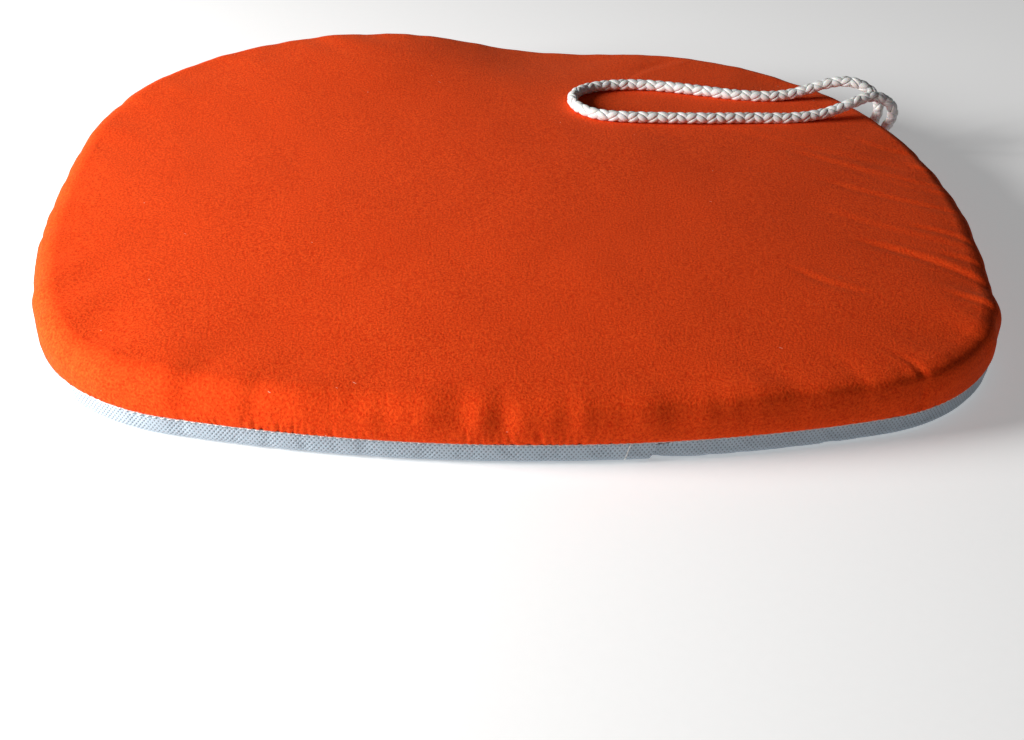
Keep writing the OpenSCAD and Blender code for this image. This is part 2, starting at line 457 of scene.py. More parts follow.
class Paint:
    """A node material with a Principled surface. Plain values go on its own sockets."""

    def __init__(self, name):
        self.material = bpy.data.materials.new(name)
        self.material.use_nodes = True
        self.tree = self.material.node_tree
        self.surface = next(n for n in self.tree.nodes if n.type == "BSDF_PRINCIPLED")

    def node(self, kind, settings=None, **inputs):
        made = self.tree.nodes.new(kind)
        for key, value in (settings or {}).items():
            setattr(made, key, value)
        for key, value in inputs.items():
            self.feed(made.inputs[key.replace("_", " ")], value)
        return made

    def feed(self, socket, value):
        if isinstance(value, bpy.types.NodeSocket):
            self.tree.links.new(value, socket)
        else:
            socket.default_value = value

    def set(self, **values):
        for key, value in values.items():
            self.feed(self.surface.inputs[key.replace("_", " ")], value)

    def place(self):
        return self.node("ShaderNodeTexCoord").outputs["Object"]

    def cloth(self):
        return self.node("ShaderNodeUVMap", {"uv_map": "cloth"}).outputs["UV"]

    def turned(self, vector, scale, angle=0.0):
        """The vector turned about Z, and then stretched by scale."""
        first = self.node("ShaderNodeMapping", None, Vector=vector)
        first.inputs["Rotation"].default_value[2] = math.radians(angle)
        made = self.node("ShaderNodeMapping", None, Vector=first.outputs["Vector"], Scale=scale)
        return made.outputs["Vector"]

    def noise(self, vector, scale, detail, roughness):
        made = self.node("ShaderNodeTexNoise", None, Vector=vector, Scale=scale, Detail=detail,
                         Roughness=roughness)
        return made.outputs["Fac"]

    def cells(self, vector, scale):
        return self.node("ShaderNodeTexVoronoi", None, Vector=vector, Scale=scale)

    def math(self, operation, a, b=0.0):
        made = self.tree.nodes.new("ShaderNodeMath")
        made.operation = operation
        self.feed(made.inputs[0], a)
        self.feed(made.inputs[1], b)
        return made.outputs[0]

    def span(self, value, low, high, to_low=0.0, to_high=1.0):
        """value from low to high becomes to_low to to_high, held at the ends."""
        made = self.tree.nodes.new("ShaderNodeMapRange")
        for k, x in enumerate((value, low, high, to_low, to_high)):
            self.feed(made.inputs[k], x)
        return made.outputs[0]

    def mix(self, share, a, b):
        made = self.tree.nodes.new("ShaderNodeMix")
        made.data_type = "RGBA"
        self.feed(made.inputs[0], share)
        self.feed(made.inputs[6], a)
        self.feed(made.inputs[7], b)
        return made.outputs[2]

    def bump(self, height, strength, distance, under=None):
        made = self.node("ShaderNodeBump", None, Height=height, Strength=strength, Distance=distance)
        if under is not None:
            self.feed(made.inputs["Normal"], under)
        return made.outputs["Normal"]


def cover_material():
    """Brushed orange microfibre: a fine nap with soft lighter and darker patches and specks of lint."""
    paint = Paint("orange_microfibre")
    place = paint.place()
    nap = paint.noise(place, 1050, 3, 0.7)
    brushed = paint.noise(paint.turned(place, (420, 1100, 900), 24), 1, 3, 0.6)
    patches = paint.noise(place, 26, 4, 0.6)
    broad = paint.noise(place, 7, 2, 0.5)
    deep = (0.66, 0.029, 0.003, 1)
    bright = (0.98, 0.088, 0.012, 1)
    colour = paint.mix(paint.span(nap, 0.36, 0.62), deep, bright)
    colour = paint.mix(paint.span(brushed, 0.42, 0.72, 0.0, 0.3), colour, (0.98, 0.115, 0.018, 1))
    colour = paint.mix(paint.span(patches, 0.35, 0.7, 0.0, 0.22), colour, (0.70, 0.040, 0.004, 1))
    colour = paint.mix(paint.span(broad, 0.35, 0.65, 0.0, 0.15), colour, (0.92, 0.080, 0.012, 1))
    lint = paint.mix(lint_share(paint, place), colour, (0.95, 0.62, 0.45, 1))
    paint.set(Base_Color=lint, Roughness=paint.span(nap, 0.3, 0.7, 0.78, 0.94))
    paint.set(Sheen_Weight=0.14, Sheen_Roughness=0.32, Sheen_Tint=(1.0, 0.46, 0.22, 1))
    paint.set(Specular_IOR_Level=0.03)
    soft = paint.bump(brushed, 0.35, 0.0003)
    paint.set(Normal=paint.bump(nap, 0.85, 0.00036, soft))
    return paint.material


def lint_share(paint, place):
    """1 on the few pale specks and short fibres caught in the nap, 0 elsewhere."""
    specks = paint.cells(place, 95)
    fibres = paint.cells(paint.turned(place, (26, 190, 190), 37), 1)
    shares = []
    for cells, channel, all_but, size in ((specks, "Red", 0.62, 0.024), (fibres, "Green", 0.72, 0.028)):
        apart = paint.node("ShaderNodeSeparateColor", None, Color=cells.outputs["Color"])
        few = paint.math("GREATER_THAN", apart.outputs[channel], all_but)
        near = paint.math("LESS_THAN", cells.outputs["Distance"], size)
        shares.append(paint.math("MULTIPLY", few, near))
    return paint.math("MULTIPLY", paint.math("MAXIMUM", *shares), 0.75)


# The bonding points of the nonwoven, staggered: distance along a row, and two rows
DOT_U = 1.7
DOT_V = 2.2


def dot_share(u, v):
    """1 in the middle of a bonding point, 0 between them; u and v in mm."""
    return smooth((np.cos(TURN * u / DOT_U) * np.cos(TURN * v / DOT_V) - 0.05) / 0.75)


def nonwoven_material(name, colour, vector_of):
    """Spunbond nonwoven: a mat of fine fibres pressed flat at staggered bonding points."""
    paint = Paint(name)
    vector = vector_of(paint)
    apart = paint.node("ShaderNodeSeparateXYZ", None, Vector=vector)
    row = paint.math("COSINE", paint.math("MULTIPLY", apart.outputs["X"], TURN / (DOT_U * MM)))
    column = paint.math("COSINE", paint.math("MULTIPLY", apart.outputs["Y"], TURN / (DOT_V * MM)))
    dots = paint.span(paint.math("MULTIPLY", row, column), 0.2, 0.8)
    one_way = paint.noise(paint.turned(vector, (350, 5200, 3000), 21), 1, 2, 0.6)
    other_way = paint.noise(paint.turned(vector, (350, 5200, 3000), -38), 1, 2, 0.6)
    fibres = paint.math("MAXIMUM", one_way, other_way)
    clouds = paint.noise(vector, 160, 3, 0.6)
    thin = tuple(c * 0.42 for c in colour[:3]) + (1,)
    thick = tuple(min(1.0, c * 1.12) for c in colour[:3]) + (1,)
    base = paint.mix(paint.span(clouds, 0.35, 0.68), colour, thick)
    base = paint.mix(paint.span(fibres, 0.5, 0.75, 0, 0.5), base, thick)
    base = paint.mix(paint.math("MULTIPLY", dots, 0.9), base, thin)
    paint.set(Base_Color=base, Roughness=paint.span(dots, 0, 1, 0.62, 0.4))
    paint.set(Specular_IOR_Level=0.38, Sheen_Weight=0.12, Sheen_Roughness=0.5)
    pressed = paint.bump(paint.math("SUBTRACT", 1.0, dots), 0.5, 0.00012)
    paint.set(Normal=paint.bump(fibres, 0.35, 0.00008, pressed))
    return paint.material


def cord_material():
    """White polypropylene yarn: glossy filaments that run along each strand."""
    paint = Paint("white_cord")
    cloth = paint.cloth()
    filaments = paint.noise(paint.turned(cloth, (260, 6200, 1)), 1, 3, 0.6)
    grime = paint.noise(paint.place(), 120, 3, 0.55)
    white = (0.90, 0.90, 0.885, 1)
    grey = (0.72, 0.715, 0.70, 1)
    colour = paint.mix(paint.span(filaments, 0.35, 0.65, 0.5, 0.0), white, grey)
    colour = paint.mix(paint.span(grime, 0.5, 0.8, 0, 0.25), colour, (0.70, 0.66, 0.60, 1))
    paint.set(Base_Color=colour, Roughness=paint.span(filaments, 0.3, 0.7, 0.5, 0.3))
    paint.set(Specular_IOR_Level=0.5, Sheen_Weight=0.1, Subsurface_Weight=0.12, Subsurface_Scale=0.001)
    paint.set(Normal=paint.bump(filaments, 0.6, 0.00022))
    return paint.material


def thread_material():
    """White spun thread: two plies twisted together, slightly hairy."""
    paint = Paint("white_thread")
    cloth = paint.cloth()
    plies = paint.node("ShaderNodeTexWave", {"wave_type": "BANDS", "bands_direction": "DIAGONAL"},
                       Vector=cloth, Scale=900, Distortion=0.4).outputs["Fac"]
    lint = paint.noise(paint.place(), 2600, 2, 0.6)
    colour = paint.mix(paint.span(plies, 0, 1, 0.45, 0.0), (0.82, 0.82, 0.80, 1), (0.60, 0.60, 0.59, 1))
    colour = paint.mix(paint.span(lint, 0.4, 0.7, 0, 0.25), colour, (0.9, 0.9, 0.88, 1))
    paint.set(Base_Color=colour, Roughness=paint.span(plies, 0, 1, 0.75, 0.55))
    paint.set(Sheen_Weight=0.2, Normal=paint.bump(plies, 0.6, 0.0001))
    return paint.material


def foam_material():
    """Pale open-cell foam."""
    paint = Paint("pale_foam")
    place = paint.place()
    pores = paint.cells(place, 1400).outputs["Distance"]
    tone = paint.noise(place, 30, 3, 0.5)
    colour = paint.mix(paint.span(pores, 0.1, 0.7), (0.50, 0.45, 0.27, 1), (0.86, 0.80, 0.58, 1))
    colour = paint.mix(paint.span(tone, 0.4, 0.7, 0, 0.3), colour, (0.80, 0.70, 0.42, 1))
    paint.set(Base_Color=colour, Roughness=paint.span(pores, 0, 1, 0.95, 0.8))
    paint.set(Normal=paint.bump(pores, 0.8, 0.0003))
    return paint.material


def floor_material():
    """A pale matte floor that glows slightly, as a light table does."""
    paint = Paint("pale_floor")
    grain = paint.noise(paint.place(), 300, 3, 0.6)
    tone = paint.mix(paint.span(grain, 0.3, 0.7), (0.90, 0.90, 0.90, 1), (0.92, 0.92, 0.92, 1))
    paint.set(Base_Color=tone, Roughness=paint.span(grain, 0, 1, 0.85, 0.95))
    paint.set(Specular_IOR_Level=0.1, Emission_Color=(1, 1, 1, 1), Emission_Strength=0.31)
    return paint.material


# --- The tie: an eight-strand braided cord ---

STRANDS = 8
BRAID_LAY = 19.0
STRAND_ORBIT = 1.55
STRAND_WEAVE = 0.40
STRAND_HALF_W = 1.42
STRAND_HALF_T = 0.8
STRAND_SIDES = 12
CORE_R = 1.25
CORD_STEP = 0.5
# The sewn ends are pressed flat over this length, by this share of their thickness
FLAT_END = 7.0
FLATTENED = 0.45


def make_cord():
    """Four strands wind each way round the line, over and under each other. Also gives the line."""
    line = curve_through(np.array(TIE_ROUTE, dtype=float), CORD_STEP)
    side, up = carried_frames(line)
    at = run_of(line)
    from_end = np.minimum(at, at[-1] - at)
    flat = 1 - smooth(from_end / FLAT_END)
    rng = np.random.default_rng(11)
    slack = 0.06 * np.interp(at, np.linspace(0, at[-1], 60), rng.normal(0, 1, 60))
    turn = TURN * at / BRAID_LAY + slack
    tubes = Tubes()
    for k in range(STRANDS):
        way = 1 if k % 2 == 0 else -1
        angle = way * turn + TURN * (k // 2) / (STRANDS / 2)
        orbit = STRAND_ORBIT + way * STRAND_WEAVE * np.cos(2 * turn - math.pi / 4)
        ray = side * np.cos(angle)[:, None] + up * np.sin(angle)[:, None]
        apart = ray * orbit[:, None]
        apart -= up * (np.einsum("ij,ij->i", apart, up) * FLATTENED * flat)[:, None]
        centre = line + apart
        run = unit(np.gradient(centre, axis=0))
        out = unit(ray - run * np.einsum("ij,ij->i", ray, run)[:, None])
        half_w = STRAND_HALF_W * (1 + 0.1 * rng.uniform(-1, 1))
        tubes.add(centre, half_w, STRAND_HALF_T, STRAND_SIDES, sections=(np.cross(run, out), out))
    tubes.add(line, CORE_R, CORE_R, 8)
    return tubes.mesh("braided_tie"), line


# --- The cover ---

# Its outer line from the turned-in edge, round the lip above the strip and up the side wall
COVER_LINE = [
    (2.8, 5.0), (2.8, 8.2), (2.35, 9.2), (1.6, 9.3), (0.95, 9.65), (0.45, 10.7),
    (0.15, 12.2), (0.0, 14.2), (0.0, WALL_TOP),
]
LIP = 3
LIP_Z = 9.4
FINE_STEP = 0.64
FINE_REACH = 11.0
FINE_COLUMNS = 2400
MID_STEP = 1.1
MID_COLUMNS = 800
WIDE_COLUMNS = 400
# Columns of the top's rings, for rings larger than each share
TOP_COLUMNS = [(0.62, MID_COLUMNS), (0.3, WIDE_COLUMNS), (0.12, 200), (0, 80)]
TOP_ROWS = 62
CROWN_START = 0.03
# How far inside the cover its inner face runs, clear of every dent, and how far under the top
INNER_INSET = 1.9
INNER_DROP = 2.4

# Distance along the front, half width and depth of each patch of gathered cloth above the seam
GATHERS = [
    (-100, 24, 0.66), (4, 26, 0.62), (78, 18, 0.22), (150, 14, 0.5), (-168, 16, 0.2),
    (330, 40, 0.42), (430, 22, 0.55), (540, 35, 0.35), (690, 45, 0.4), (850, 40, 0.45),
    (980, 30, 0.3),
]
# Pitch and height of the puckers in them, and the depth that puckers have everywhere
PUCKER_PITCH = 3.4
PUCKER_TALL = 6.2
EVERYWHERE = 0.07

# How far up the cover's line the dents start to fade, and over what length
DENTS_END = 21.0
DENTS_FADE = 13.0

# Dents in the side wall: distance along the edge, height, half width, half height, depth
DENTS = [
    (-13, 19, 4.5, 6.5, 1.1), (-28, 22, 6, 6, 0.5), (12, 18, 7, 7, 0.3), (34, 20, 5, 6, 0.25),
    (56, 24, 9, 5, 0.25), (-70, 23, 16, 4, 0.3), (-118, 21, 12, 6, 0.5), (-150, 20, 14, 8, 0.55),
    (100, 22, 10, 7, 0.25), (151, 18, 1.9, 10, 1.25), (143, 21, 6, 8, 0.6), (186, 20, 9, 9, 0.8),
    (214, 19, 6, 8, 0.6), (245, 20, 10, 8, 0.7), (285, 20, 8, 8, 0.6), (330, 20, 12, 8, 0.6),
]

# The ridge between wall and top: its middle up the cover's line and its half width; and where it
# is crisp: distance along the edge, half width, push outward
RIDGE_MIDDLE = 16.5
RIDGE_HALF = 3.4
CRISP = [(130, 75, 1.35), (20, 60, 0.8), (-95, 40, 0.4), (260, 60, 0.7)]

# Long shallow creases on the top: first point, last point, half width, depth
CREASES = [
    ((132, 40), (194, 3), 1.9, 0.34), ((143, 8), (196, -21), 1.8, 0.32),
    ((150, -50), (196, -82), 2.2, 0.5), ((114, -74), (137, -90), 2.2, 0.26),
    ((166, 53), (188, 39), 1.7, 0.3), ((172, -34), (198, -50), 1.8, 0.42),
    ((108, 62), (184, 22), 2.6, 0.2), ((136, -20), (190, -52), 2.6, 0.2),
    ((176, -91), (193, -104), 2.0, 0.5), ((158, 20), (196, -6), 1.8, 0.26),
    ((181, -58), (199, -70), 1.5, 0.4), ((96, 150), (70, 128), 2.6, 0.2),
    ((182, 30), (195, 22), 1.5, 0.35), ((180, 8), (197, -2), 1.5, 0.35),
]
CREASE_BOW = 2.2


def cover_profile():
    """(inset, z) along the cover's outer line up to the top of the roll, with its running length."""
    lower = curve_through(np.array(COVER_LINE, dtype=float), 0.1)
    angle = np.linspace(0, math.pi / 2, 60)[1:]
    roll = np.column_stack((ROLL_R - ROLL_R * np.cos(angle), WALL_TOP + ROLL_R * np.sin(angle)))
    line = np.vstack((lower, roll))
    length = run_of(line)
    lip = length[np.argmin(np.linalg.norm(line - np.array(COVER_LINE[LIP]), axis=1))]
    return line, length - lip


def profile_at(line, length, v):
    return np.interp(v, length, line[:, 0]), np.interp(v, length, line[:, 1])


def crown_height(shrink):
    return PAD_H - TOP_CROWN * shrink ** 2


def stations(count):
    return EDGE_LEN * np.arange(count) / count


def over_top(shrink, length):
    """The cover's running length where the outline has shrunk towards the middle."""
    return length[-1] + (1 - shrink) * min(PAD_W, PAD_D) / 2


def cover_rows():
    """The cover's outer face, fine above the seam and wider further up, and its inner face."""
    line, length = cover_profile()
    rows = Rows()
    levels = [(length[0], WIDE_COLUMNS), (-2.4, WIDE_COLUMNS), (-1.2, FINE_COLUMNS)]
    levels += [(v, FINE_COLUMNS) for v in np.arange(-0.6, FINE_REACH, FINE_STEP)]
    levels += [(v, MID_COLUMNS) for v in np.arange(FINE_REACH + 0.4, length[-1] - 0.2, MID_STEP)]
    last = None
    for v, count in levels:
        s = stations(count)
        last = rows.stack(last, on_edge(s, *profile_at(line, length, v)), s, v)
    for share in np.arange(TOP_ROWS) / (TOP_ROWS - 1):
        shrink = 1 - (1 - CROWN_START) * share ** 1.06
        s = stations(next(count for least, count in TOP_COLUMNS if shrink > least))
        points = shrunk(s, ROLL_R, shrink, crown_height(shrink))
        last = rows.stack(last, points, s, over_top(shrink, length))
    rows.cap(last, crown_height(0), over_top(0, length))
    inner_from = rows.count
    close_inside(rows, np.arange(WIDE_COLUMNS), line, length)
    return rows, inner_from


def close_inside(rows, rim, line, length):
    """The cover's inner face, from the rim up and across under the top."""
    s = stations(200)
    rings = []
    for v in np.concatenate(([length[0]], np.arange(-1.5, length[-1], 2.5))):
        inset, z = profile_at(line, length, v)
        rings.append(rows.row(on_edge(s, inset + INNER_INSET, min(z, PAD_H - 5)), s, v))
    for shrink in np.linspace(0.96, CROWN_START, 24):
        points = shrunk(s, ROLL_R, shrink, crown_height(shrink) - INNER_DROP)
        rings.append(rows.row(points, s, over_top(shrink, length)))
    for last, ring in zip([rim] + rings, rings):
        rows.join(ring, last, True)
    rows.cap(rings[-1][::-1], crown_height(0) - INNER_DROP, over_top(0, length))


def signed(s):
    """Distance along the edge from the front middle, negative on the left half."""
    return np.mod(s + HALF_LEN, EDGE_LEN) - HALF_LEN


def gathered(s, v):
    """How far the gathers pull the cloth in just above the seam."""
    strength = np.full(len(s), EVERYWHERE)
    for middle, half, depth in GATHERS:
        strength += depth * bell(signed(s - middle) / half)
    count = round(EDGE_LEN / PUCKER_PITCH)
    lean = 0.05 * v * ripple(s, 60, 5)
    phase = count * s / EDGE_LEN + 0.42 * ripple(s, 24, 3) + lean
    hump = np.abs(np.sin(math.pi * phase)) ** 0.85
    uneven = 1 + 0.45 * ripple(s, 8, 7)
    tall = PUCKER_TALL + 1.8 * ripple(s, 11, 9)
    fade = (0.35 + 0.65 * smooth((v + 0.6) / 1.5)) * (1 - smooth((v - 1.2) / np.maximum(tall, 2.5)))
    return strength * np.clip(uneven, 0.2, 2) * (1 - hump) * fade


def dented(s, v, z):
    """How far the side wall and its soft ridge are pressed in."""
    depth = np.zeros(len(s))
    for middle, height, half_w, half_h, deep in DENTS:
        depth += deep * bell(signed(s - middle) / half_w) * bell((z - height) / half_h)
    for middle, half, push in CRISP:
        depth -= push * bell(signed(s - middle) / half) * bell((v - RIDGE_MIDDLE) / RIDGE_HALF)
    wall = bell((z - 20) / 7)
    depth += wall * (0.17 * ripple(s, 30, 21) + 0.07 * ripple(s, 13, 22))
    return depth * (1 - smooth((v - DENTS_END) / DENTS_FADE))


def creased(xy):
    """How far the long creases sink the top, with a slight ridge beside each."""
    depth = np.zeros(len(xy))
    for first, last, half, deep in CREASES:
        a, b = np.array(first, float), np.array(last, float)
        run = b - a
        t = ((xy - a) @ run) / run.dot(run)
        bow = CREASE_BOW * np.sin(math.pi * np.clip(t, 0, 1)) * (1 if deep > 0.35 else -1)
        across = ((xy - a) @ np.array((-run[1], run[0]))) / np.linalg.norm(run) - bow
        ends = smooth((t + 0.25) / 0.45) * (1 - smooth((t - 0.85) / 0.35))
        depth += deep * ends * (bell(across / half) - 0.55 * bell((across - 1.9 * half) / (1.2 * half)))
    return depth


def make_cover():
    """The cover with its gathers, dents, creases and folds. Both faces move the same way."""
    rows, inner_from = cover_rows()
    cover = rows.mesh("cover", wrap=EDGE_LEN)
    points, normals = read_points(cover), read(cover, "normal")
    normals[inner_from:] *= -1
    s, v = np.vstack(rows.cloth).T
    xy, z = points[:, :2], points[:, 2]
    above = smooth((z - LIP_Z) / 3.0)
    top = smooth((z - 22) / 5)
    depth = gathered(s, v) * (v > -1.3) + above * dented(s, v, z)
    depth = depth + top * (creased(xy) - 0.13 * swell(xy, 95, 31) - 0.035 * swell(xy, 34, 32))
    rest = points + puffed(points) * above[:, None]
    write_points(cover, settled(rest - normals * depth[:, None]))
    return cover


# --- Cloth simulation: the folds of the tight cover near its edge ---

VOXEL = 5.5
SIM_PRESSURE = 4.0
SIM_FRAMES = 20
SIM_SHRINK = 1.2
PINNED_BELOW = 10.5
# Share of the folds that is kept, how far in from the roll they reach, and the most that a point moves
FOLD_SHARE = 0.16
FOLD_REACH = 34.0
MOST_MOVE = 0.9
# The average is over this many cells, in a patch this much longer than wide
NEIGHBOURS = 70
ALONG_EDGE = 6.0


def simulation_body():
    """A closed plain body, slightly smaller than the pad, remeshed into even small cells."""
    rows = Rows()
    s = stations(160)
    insets = [(6.0, 7.0), (3.6, 8.2), (1.6, 11), (0.6, 15), (0.6, WALL_TOP)]
    insets += [(ROLL_R - (ROLL_R - 0.6) * math.cos(a), WALL_TOP + (ROLL_R - 0.6) * math.sin(a))
               for a in np.linspace(0, math.pi / 2, 5)[1:]]
    last = first = rows.row(on_edge(s, insets[0][0] + SIM_SHRINK, insets[0][1]), s, 0)
    for inset, z in insets[1:]:
        last = rows.stack(last, on_edge(s, inset + SIM_SHRINK, z - SIM_SHRINK / 2), s, 0)
    for shrink in (0.9, 0.75, 0.6, 0.45, 0.3, 0.15):
        last = rows.stack(last, shrunk(s, ROLL_R, shrink, crown_height(shrink) - SIM_SHRINK), s, 0)
    rows.cap(last, crown_height(0) - SIM_SHRINK)
    rows.cap(first[::-1], insets[0][1])
    body = rows.mesh("simulation_body")
    remesh = body.modifiers.new("even_cells", "REMESH")
    remesh.mode = "VOXEL"
    remesh.voxel_size = VOXEL * MM
    cells = bpy.data.meshes.new_from_object(evaluated(body))
    body.modifiers.clear()
    body.data = cells
    return body


def evaluated(piece):
    return piece.evaluated_get(bpy.context.evaluated_depsgraph_get())


def tree_of(points):
    tree = KDTree(len(points))
    for i, p in enumerate(points):
        tree.insert(p, i)
    tree.balance()
    return tree


def folds_of(before, moved):
    """The folds in a movement: what is left when its average along the edge is taken off."""
    s = stations(1200)
    edge, outward = edge_at(s)
    edge_tree = tree_of(np.column_stack((edge, np.zeros(len(s)))))
    nearest = [edge_tree.find((x, y, 0)) for x, y, _ in before]
    at = np.array([k for _, k, _ in nearest])
    inset = np.array([d for _, _, d in nearest])
    ray = outward[at]
    out = (moved[:, :2] * ray).sum(1)
    side = moved[:, 1] * ray[:, 0] - moved[:, 0] * ray[:, 1]
    local = np.column_stack((out, side, moved[:, 2]))
    along = np.column_stack((inset, before[:, 2], s[at] / ALONG_EDGE))
    tree = tree_of(along)
    mean = np.array([local[[k for _, k, _ in tree.find_n(p, NEIGHBOURS)]].mean(0) for p in along])
    near_edge = 1 - smooth((inset - ROLL_R) / FOLD_REACH)
    local = FOLD_SHARE * (local - mean) * near_edge[:, None]
    turned = ray * local[:, :1] + np.column_stack((-ray[:, 1], ray[:, 0])) * local[:, 1:2]
    return np.column_stack((turned, local[:, 2]))


def blown_up(body):
    """Runs the cloth and returns the points at rest and how far each one moves, capped."""
    before = read_points(body)
    pin = body.vertex_groups.new(name="sewn")
    pin.add(np.flatnonzero(before[:, 2] < PINNED_BELOW).tolist(), 1.0, "REPLACE")
    cloth = body.modifiers.new("cloth", "CLOTH")
    settings = cloth.settings
    settings.quality = 6
    settings.mass = 0.25
    settings.tension_stiffness = 18
    settings.compression_stiffness = 14
    settings.shear_stiffness = 6
    settings.bending_stiffness = 0.6
    settings.use_pressure = True
    settings.uniform_pressure_force = SIM_PRESSURE
    settings.effector_weights.gravity = 0
    settings.vertex_group_mass = "sewn"
    cloth.collision_settings.use_collision = False
    cloth.point_cache.frame_start = 1
    cloth.point_cache.frame_end = SIM_FRAMES
    scene = bpy.context.scene
    for number in range(1, SIM_FRAMES + 1):
        scene.frame_set(number)
    moved = read_points(evaluated(body)) - before
    scene.frame_set(1)
    body.modifiers.clear()
    moved = folds_of(before, moved)
    far = np.linalg.norm(moved, axis=1, keepdims=True)
    return before, moved * np.minimum(1, MOST_MOVE / np.maximum(far, 1e-9))


def puffed(points):
    """How far the cloth simulation moves each point of a piece."""
    body = simulation_body()
    before, moved = blown_up(body)
    bpy.data.objects.remove(body)
    tree = tree_of(before)
    result = np.zeros_like(points)
    for i, p in enumerate(points):
        near = tree.find_n(p, 5)
        share = np.array([1 / (d + 2.0) ** 2 for _, _, d in near])
        result[i] = (moved[[k for _, k, _ in near]] * share[:, None]).sum(0) / share.sum()
    return result


# --- The strip ---

BAND_COLUMN = DOT_U / 4
BAND_ROW = DOT_V / 6
DIMPLE = 0.3
RAW_END = 12.0
SLOPE_STEP = 0.05
# The least that the strip lies inside its plain shape, to keep it clear of the floor
BAND_LIFT = 0.05


def band_line():
    """(inset, z) down the strip's outer face, round the fold and back under, with its running length."""
    lip = [(1.85, BAND_H + 0.1), (1.5, BAND_H + 0.05), (BAND_INSET, BAND_H - 0.4), (BAND_INSET, FOLD_R)]
    angle = np.linspace(0, math.pi / 2, 30)[1:]
    centre = BAND_INSET + FOLD_R
    fold = np.column_stack((centre - FOLD_R * np.cos(angle), FOLD_R - FOLD_R * np.sin(angle)))
    under = [(centre + BAND_RETURN, 0.0)]
    line = spaced(np.vstack((lip, fold, under)), 0.05)
    return line, run_of(line)


def lap_inset(s):
    """How far the strip's first stretch lies further in, beneath its last."""
    return LAP_DEPTH * (1 - smooth((s - LAP_END) / LAP_RAMP)) + LAP_TUCK * bell((s - LAP_END) / 4.5)


def band_point(s, v, off, line, length):
    """Points of the strip at distances s along it, v down its line, and off beneath its face."""
    inset, z = profile_at(line, length, v)
    ahead = np.column_stack(profile_at(line, length, v + SLOPE_STEP))
    slope = unit(ahead - np.column_stack(profile_at(line, length, v - SLOPE_STEP)))
    return on_edge(s, inset - slope[:, 1] * off, z + slope[:, 0] * off)


def band_row(rows, s, v, off, line, length):
    """A row along the strip, rippled, dimpled on the outer face, and slanting at the raw end."""
    v_all = np.full(len(s), v)
    near_end = smooth((s - (s[-1] - RAW_END)) / RAW_END)
    s_cut = s - near_end * LAP_SLANT * (v - BAND_H / 2) / BAND_H
    depth = off + lap_inset(s_cut) + 0.10 * ripple(s_cut, 16, 41)
    depth = depth + 0.06 * swell(np.column_stack((s_cut, v_all)), 6, 42)
    if off == 0.0:
        depth = depth + DIMPLE * dot_share(s_cut, v_all) * smooth((v - 0.5) / 0.8)
    return rows.row(band_point(s_cut, v_all, np.maximum(depth, BAND_LIFT), line, length), s_cut, v)


def make_band():
    """The folded strip, once round and lapped over its own start."""
    line, length = band_line()
    rows = Rows()
    total = EDGE_LEN + LAP_LEN
    fine = LAP_START + np.linspace(0, total, round(total / BAND_COLUMN) + 1)
    coarse = LAP_START + np.linspace(0, total, 500)
    outer = [band_row(rows, fine, v, 0.0, line, length) for v in np.arange(0, 10.2, BAND_ROW)]
    outer += [band_row(rows, coarse, v, 0.0, line, length) for v in (10.8, 12.4, 15, 18, 21, length[-1])]
    inner = [band_row(rows, coarse, v, BAND_T, line, length)
             for v in (0.2, 2, 4, 5.5, 7, 8.5, 10, 12, 15, 18, 21, length[-1] - 0.1)]
    for a, b in zip(outer, outer[1:]):
        rows.join(b, a, False)
    for a, b in zip(inner, inner[1:]):
        rows.join(a, b, False)
    rows.join(outer[0], inner[0], False)
    rows.join(inner[-1], outer[-1], False)
    for k, faces in ((0, (outer, inner)), (-1, (inner, outer))):
        rows.zip(*(np.array([row[k] for row in face]) for face in faces), False)
    return settle(rows.mesh("edge_strip"))


# --- The underside panel ---

PANEL_INSET = 5.4
PANEL_SAG = 0.5


def panel_face(rows, z):
    """Rings from the panel's edge inwards, which sag a little between the seam and the middle."""
    made = []
    for shrink in np.linspace(1, 0.03, 46):
        s = stations(420 if shrink > 0.4 else 140)
        points = shrunk(s, PANEL_INSET, shrink, z)
        xy = points[:, :2]
        waves = 0.5 + 0.3 * swell(xy, 42, 51) + 0.12 * swell(xy, 17, 52)
        free = smooth((1 - shrink) / 0.15)
        points[:, 2] -= PANEL_SAG * free * np.clip(waves, 0, 1.4)
        made.append(rows.row(points, points[:, 0], points[:, 1]))
    return made


def make_panel():
    """The underside panel, with a lower and an upper face."""
    rows = Rows()
    low = panel_face(rows, PANEL_Z)
    high = panel_face(rows, PANEL_Z + PANEL_T)
    for a, b in zip(low, low[1:]):
        rows.join(b, a, True)
    for a, b in zip(high, high[1:]):
        rows.join(a, b, True)
    rows.join(low[0], high[0], True)
    rows.cap(low[-1][::-1], PANEL_Z - PANEL_SAG / 2)
    rows.cap(high[-1], PANEL_Z + PANEL_T - PANEL_SAG / 2)
    return settle(rows.mesh("underside_panel"))


# --- Stitches ---

# Stitches of the seam above the strip, and the thread that loops between them
STITCH_PITCH = 3.0
STITCH_LEN = 1.9
STITCH_INSET = 1.42
LOOP_INSET = 1.55
ZIGZAG_PITCH = 2.2
ZIGZAG_W = 3.0
LAP_STITCHES = 4
LAP_PITCH = 1.9
# Half sizes of the flattened thread in the lap's row and the tack
FLAT_THREAD = (0.24, 0.2)
TACK_WRAPS = 34
TACK_PROUD = 0.16
SEARCH_FROM = 25.0
# Distance along the edge and half length of each place where the seam's stitches show
OPEN_SEAM = [(-146, 14), (-178, 8), (212, 10), (420, 12), (640, 30), (900, 20)]


